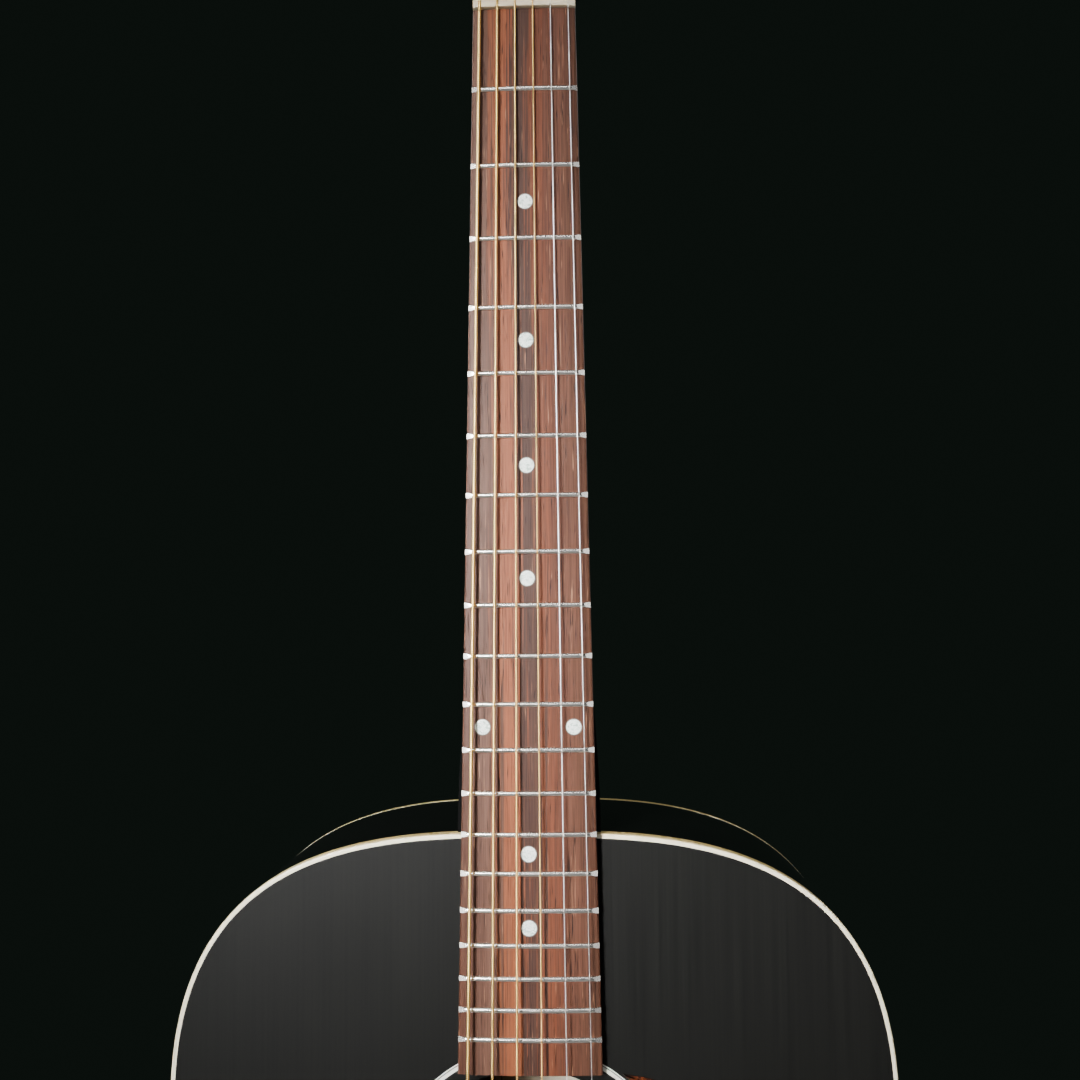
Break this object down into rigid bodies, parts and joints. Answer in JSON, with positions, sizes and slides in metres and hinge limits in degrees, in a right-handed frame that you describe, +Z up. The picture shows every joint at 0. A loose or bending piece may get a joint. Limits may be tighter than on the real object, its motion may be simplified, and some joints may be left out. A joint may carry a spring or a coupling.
{
  "type": "acoustic guitar",
  "caption": "Flat-top steel-string acoustic guitar with a round-shouldered black body, cream binding and geared open tuners; made to be hung, strummed and tuned.",
  "frame": {"origin": "middle of the nut's fingerboard-side edge, on the fingerboard's surface", "axes": "+Z up the neck towards the headstock, +Y towards the back of the body (the strings face -Y), +X towards the treble strings"},
  "size_m": [0.408, 0.1352, 1.0494],
  "materials": {
    "black_top": "satin black lacquer over close spruce grain",
    "black_gloss": "high-gloss black lacquer",
    "binding": "cream plastic, polished, yellowed on its side face",
    "spruce": "bare planed spruce",
    "mahogany": "bare mahogany",
    "rosewood": "oiled rosewood, reddish brown with dark streaks",
    "bone": "polished bone, cream",
    "ivory_plastic": "off-white plastic",
    "tortoise": "dark mottled brown plastic, glossy",
    "nickel": "polished nickel plate",
    "brass": "turned brass",
    "bronze_string": "bronze winding, bright",
    "steel_string": "bright plain steel"
  },
  "bodies": {
    "guitar": {"soundboard": "black_top", "back_plate": "black_gloss", "side_bass": "black_gloss", "side_treble": "black_gloss", "top_binding": "binding", "back_binding": "binding", "neck_block": "mahogany", "tail_block": "mahogany", "top_lining": "mahogany", "back_lining": "mahogany", "x_brace_bass": "spruce", "x_brace_treble": "spruce", "upper_transverse_brace": "spruce", "tone_bar_upper": "spruce", "tone_bar_lower": "spruce", "back_brace_1": "spruce", "back_brace_2": "spruce", "back_brace_3": "spruce", "back_brace_4": "spruce", "back_center_strip": "spruce", "bridge_plate": "mahogany", "rosette": "ivory_plastic", "bridge": "rosewood", "saddle": "bone", "pickguard": "tortoise", "end_pin": "ivory_plastic", "neck": "black_gloss", "heel_cap": "black_gloss", "headplate": "black_gloss", "fingerboard": "rosewood", "nut": "bone", "truss_rod": "steel_string", "truss_rod_cover": "black_gloss", "tuner_plate_bass": "nickel", "tuner_plate_treble": "nickel", "string_1": "bronze_string", "string_2": "bronze_string", "string_3": "bronze_string", "string_4": "bronze_string", "string_5": "steel_string", "string_6": "steel_string"},
    "key_1": {"tuner_key_1": "nickel"},
    "post_1": {"tuner_post_1": "nickel"},
    "key_2": {"tuner_key_2": "nickel"},
    "post_2": {"tuner_post_2": "nickel"},
    "key_3": {"tuner_key_3": "nickel"},
    "post_3": {"tuner_post_3": "nickel"},
    "key_4": {"tuner_key_4": "nickel"},
    "post_4": {"tuner_post_4": "nickel"},
    "key_5": {"tuner_key_5": "nickel"},
    "post_5": {"tuner_post_5": "nickel"},
    "key_6": {"tuner_key_6": "nickel"},
    "post_6": {"tuner_post_6": "nickel"},
    "pin_1": {"bridge_pin_1": "ivory_plastic"},
    "pin_2": {"bridge_pin_2": "ivory_plastic"},
    "pin_3": {"bridge_pin_3": "ivory_plastic"},
    "pin_4": {"bridge_pin_4": "ivory_plastic"},
    "pin_5": {"bridge_pin_5": "ivory_plastic"},
    "pin_6": {"bridge_pin_6": "ivory_plastic"},
    "rod_nut": {"truss_rod_nut": "brass"}
  },
  "joints": [
    {"name": "key_1_turn", "type": "hinge", "parent": "guitar", "child": "key_1", "pos_m": [-0.021, 0.03313, 0.03136], "axis": [1, 0, 0], "continuous": true},
    {"name": "post_1_turn", "type": "hinge", "parent": "guitar", "child": "post_1", "pos_m": [-0.021, 0.03533, 0.03853], "axis": [0, 0.9563, -0.2924], "continuous": true},
    {"name": "key_2_turn", "type": "hinge", "parent": "guitar", "child": "key_2", "pos_m": [-0.021, 0.04424, 0.0677], "axis": [1, 0, 0], "continuous": true},
    {"name": "post_2_turn", "type": "hinge", "parent": "guitar", "child": "post_2", "pos_m": [-0.021, 0.04643, 0.07487], "axis": [0, 0.9563, -0.2924], "continuous": true},
    {"name": "key_3_turn", "type": "hinge", "parent": "guitar", "child": "key_3", "pos_m": [-0.021, 0.05535, 0.10404], "axis": [1, 0, 0], "continuous": true},
    {"name": "post_3_turn", "type": "hinge", "parent": "guitar", "child": "post_3", "pos_m": [-0.021, 0.05755, 0.11121], "axis": [0, 0.9563, -0.2924], "continuous": true},
    {"name": "key_4_turn", "type": "hinge", "parent": "guitar", "child": "key_4", "pos_m": [0.021, 0.05535, 0.10404], "axis": [1, 0, 0], "continuous": true},
    {"name": "post_4_turn", "type": "hinge", "parent": "guitar", "child": "post_4", "pos_m": [0.021, 0.05755, 0.11121], "axis": [0, 0.9563, -0.2924], "continuous": true},
    {"name": "key_5_turn", "type": "hinge", "parent": "guitar", "child": "key_5", "pos_m": [0.021, 0.04424, 0.0677], "axis": [1, 0, 0], "continuous": true},
    {"name": "post_5_turn", "type": "hinge", "parent": "guitar", "child": "post_5", "pos_m": [0.021, 0.04643, 0.07487], "axis": [0, 0.9563, -0.2924], "continuous": true},
    {"name": "key_6_turn", "type": "hinge", "parent": "guitar", "child": "key_6", "pos_m": [0.021, 0.03313, 0.03136], "axis": [1, 0, 0], "continuous": true},
    {"name": "post_6_turn", "type": "hinge", "parent": "guitar", "child": "post_6", "pos_m": [0.021, 0.03533, 0.03853], "axis": [0, 0.9563, -0.2924], "continuous": true},
    {"name": "pin_1_pull", "type": "slide", "parent": "guitar", "child": "pin_1", "axis": [0, -1, 0], "range_m": [0, 0.028]},
    {"name": "pin_2_pull", "type": "slide", "parent": "guitar", "child": "pin_2", "axis": [0, -1, 0], "range_m": [0, 0.028]},
    {"name": "pin_3_pull", "type": "slide", "parent": "guitar", "child": "pin_3", "axis": [0, -1, 0], "range_m": [0, 0.028]},
    {"name": "pin_4_pull", "type": "slide", "parent": "guitar", "child": "pin_4", "axis": [0, -1, 0], "range_m": [0, 0.028]},
    {"name": "pin_5_pull", "type": "slide", "parent": "guitar", "child": "pin_5", "axis": [0, -1, 0], "range_m": [0, 0.028]},
    {"name": "pin_6_pull", "type": "slide", "parent": "guitar", "child": "pin_6", "axis": [0, -1, 0], "range_m": [0, 0.028]},
    {"name": "rod_nut_turn", "type": "hinge", "parent": "guitar", "child": "rod_nut", "pos_m": [0, 0.013, 0.012], "axis": [0, 0, 1], "range_deg": [-180, 180]}
  ],
  "couplings": [
    {"joint": "post_1_turn", "follows": "key_1_turn", "ratio": 0.066667},
    {"joint": "post_2_turn", "follows": "key_2_turn", "ratio": 0.066667},
    {"joint": "post_3_turn", "follows": "key_3_turn", "ratio": 0.066667},
    {"joint": "post_4_turn", "follows": "key_4_turn", "ratio": 0.066667},
    {"joint": "post_5_turn", "follows": "key_5_turn", "ratio": 0.066667},
    {"joint": "post_6_turn", "follows": "key_6_turn", "ratio": 0.066667}
  ]
}
